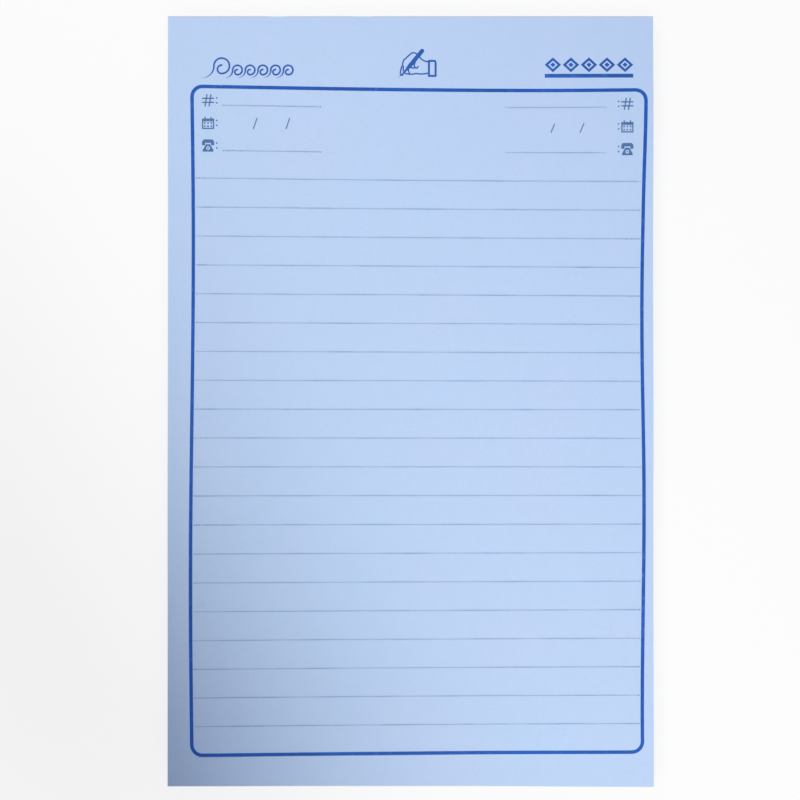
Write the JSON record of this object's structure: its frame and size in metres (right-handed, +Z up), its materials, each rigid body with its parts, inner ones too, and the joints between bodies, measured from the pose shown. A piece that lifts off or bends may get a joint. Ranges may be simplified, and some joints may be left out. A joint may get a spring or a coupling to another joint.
{
  "type": "legal pad",
  "caption": "Ruled writing pad gummed at its head edge: a stack of pale blue sheets on a chipboard back, the top sheet printed with a rounded blue frame and dotted lines.",
  "frame": {"origin": "middle of the pad's underside, so that the pad lies on the plane z = 0 with its written face up", "axes": "+Z up out of the written face, +Y along the page from its foot to its glued head, +X to the right of the page"},
  "size_m": [0.128, 0.2034, 0.006],
  "materials": {
    "paper": "matte, uncoated",
    "chipboard": "matte",
    "padding_glue": "satin, milky",
    "blue_ink": "matte",
    "rule_ink": "matte",
    "label_ink": "matte",
    "heading_ink": "matte"
  },
  "bodies": {
    "root": {"sheet_block": "paper", "backing_board": "chipboard", "head_glue": "padding_glue", "page_frame": "blue_ink", "ruled_lines": "rule_ink", "entry_lines": "rule_ink", "date_strokes": "label_ink", "number_marks": "label_ink", "calendar_marks": "label_ink", "telephone_marks": "label_ink", "mark_colons": "label_ink", "scroll_heading": "heading_ink", "writing_hand": "heading_ink", "lozenge_heading": "heading_ink"}
  },
  "joints": []
}
